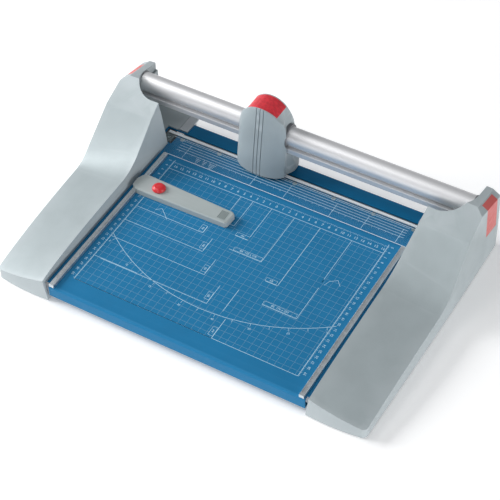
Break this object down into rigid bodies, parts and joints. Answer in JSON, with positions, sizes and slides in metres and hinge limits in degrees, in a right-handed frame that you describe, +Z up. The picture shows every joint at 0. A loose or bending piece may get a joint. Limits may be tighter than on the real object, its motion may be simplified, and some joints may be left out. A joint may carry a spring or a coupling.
{
  "type": "rotary paper trimmer",
  "caption": "Desk-top rotary paper trimmer: a printed blue table between grey cheeks, a round guide bar, a sliding cutting head, a clear clamp strip and a backstop.",
  "frame": {"origin": "on the floor under the middle of the trimmer", "axes": "+X along the cut, to the right as seen by the user; +Y away from the user, to the back; +Z up"},
  "size_m": [0.556, 0.376, 0.1405],
  "materials": {
    "blue_steel": "satin baked enamel with a printed grid",
    "dark_steel": "satin",
    "feet_rubber": "matte",
    "bed_aluminium": "mill finish",
    "blade_steel": "ground",
    "screw_steel": "zinc plated",
    "guide_aluminium": "satin anodised with engraved scales",
    "grey_plastic": "fine satin grain",
    "red_plastic": "satin",
    "bright_bar": "drawn, satin bright",
    "black_plastic": "matte",
    "clear_plastic": "clear with printed lines",
    "spring_steel": "bright",
    "brass_bush": "plain",
    "roller_rubber": "matte",
    "stop_plastic": "satin",
    "cap_red": "leather-like grain"
  },
  "bodies": {
    "base": {"base_table": "blue_steel", "right_base_rail": "dark_steel", "left_base_rail": "dark_steel", "foot_front_left": "feet_rubber", "foot_front_right": "feet_rubber", "foot_rear_left": "feet_rubber", "foot_rear_right": "feet_rubber", "cutter_bed": "bed_aluminium", "counter_blade": "blade_steel", "counter_blade_screws": "screw_steel", "right_side_guide": "guide_aluminium", "left_side_guide": "guide_aluminium", "right_rear_guide": "guide_aluminium", "left_rear_guide": "guide_aluminium", "side_guide_screws": "screw_steel", "right_cheek_shell": "grey_plastic", "left_cheek_shell": "grey_plastic", "right_accent_cap": "red_plastic", "left_accent_cap": "red_plastic", "cheek_screws": "screw_steel", "guide_bar": "bright_bar", "bar_end_plugs": "bed_aluminium", "bar_end_bolts": "screw_steel", "right_bar_bracket": "dark_steel", "left_bar_bracket": "dark_steel", "bracket_screws": "screw_steel", "right_bar_grommet": "black_plastic", "left_bar_grommet": "black_plastic", "clamp_guide_posts": "screw_steel", "right_clamp_bracket": "dark_steel", "left_clamp_bracket": "dark_steel", "right_clamp_spring": "spring_steel", "left_clamp_spring": "spring_steel"},
    "clamp": {"clamp_strip": "clear_plastic", "clamp_bar": "guide_aluminium", "right_clamp_block": "black_plastic", "left_clamp_block": "black_plastic"},
    "head": {"carriage_front_shell": "grey_plastic", "carriage_rear_shell": "grey_plastic", "grip_cap": "cap_red", "carriage_frame": "bright_bar", "left_slide_bush": "black_plastic", "right_slide_bush": "black_plastic", "roller_pins": "screw_steel", "carriage_screws": "screw_steel", "blade_axle": "screw_steel", "blade_spring_washer": "spring_steel"},
    "blade": {"rotary_blade": "blade_steel", "blade_hub": "blade_steel", "hub_bush": "brass_bush"},
    "left_roller": {"left_press_roller": "roller_rubber"},
    "right_roller": {"right_press_roller": "roller_rubber"},
    "backstop": {"backstop_arm": "stop_plastic", "stop_clamp_shoe": "black_plastic"},
    "knob": {"stop_knob": "red_plastic", "knob_stud": "screw_steel"}
  },
  "joints": [
    {"name": "carriage_slide", "type": "slide", "parent": "base", "child": "head", "axis": [1, 0, 0], "range_m": [-0.147, 0.253]},
    {"name": "blade_spin", "type": "hinge", "parent": "head", "child": "blade", "pos_m": [-0.053, 0.1405, 0.0465], "axis": [0, 1, 0], "range_deg": [-430, 735]},
    {"name": "left_roller_spin", "type": "hinge", "parent": "head", "child": "left_roller", "pos_m": [-0.075, 0.1345, 0.0381], "axis": [0, 1, 0], "range_deg": [-1410, 2420]},
    {"name": "right_roller_spin", "type": "hinge", "parent": "head", "child": "right_roller", "pos_m": [-0.031, 0.1345, 0.0381], "axis": [0, 1, 0], "range_deg": [-1410, 2420]},
    {"name": "clamp_press", "type": "slide", "parent": "base", "child": "clamp", "axis": [0, 0, 1], "range_m": [-0.0011, 0], "stiffness_N_per_m": 3000, "springref_m": 0.002, "deforming": ["right_clamp_spring", "left_clamp_spring"]},
    {"name": "backstop_slide", "type": "slide", "parent": "base", "child": "backstop", "axis": [0, 1, 0], "range_m": [-0.19, 0.045]},
    {"name": "stop_knob_turn", "type": "hinge", "parent": "backstop", "child": "knob", "pos_m": [-0.1515, 0.0265, 0.04], "axis": [0, 0, 1], "range_deg": [0, 90]}
  ],
  "couplings": [
    {"joint": "blade_spin", "follows": "carriage_slide", "rad_per_m": 50},
    {"joint": "left_roller_spin", "follows": "carriage_slide", "rad_per_m": 166.67},
    {"joint": "right_roller_spin", "follows": "carriage_slide", "rad_per_m": 166.67}
  ]
}
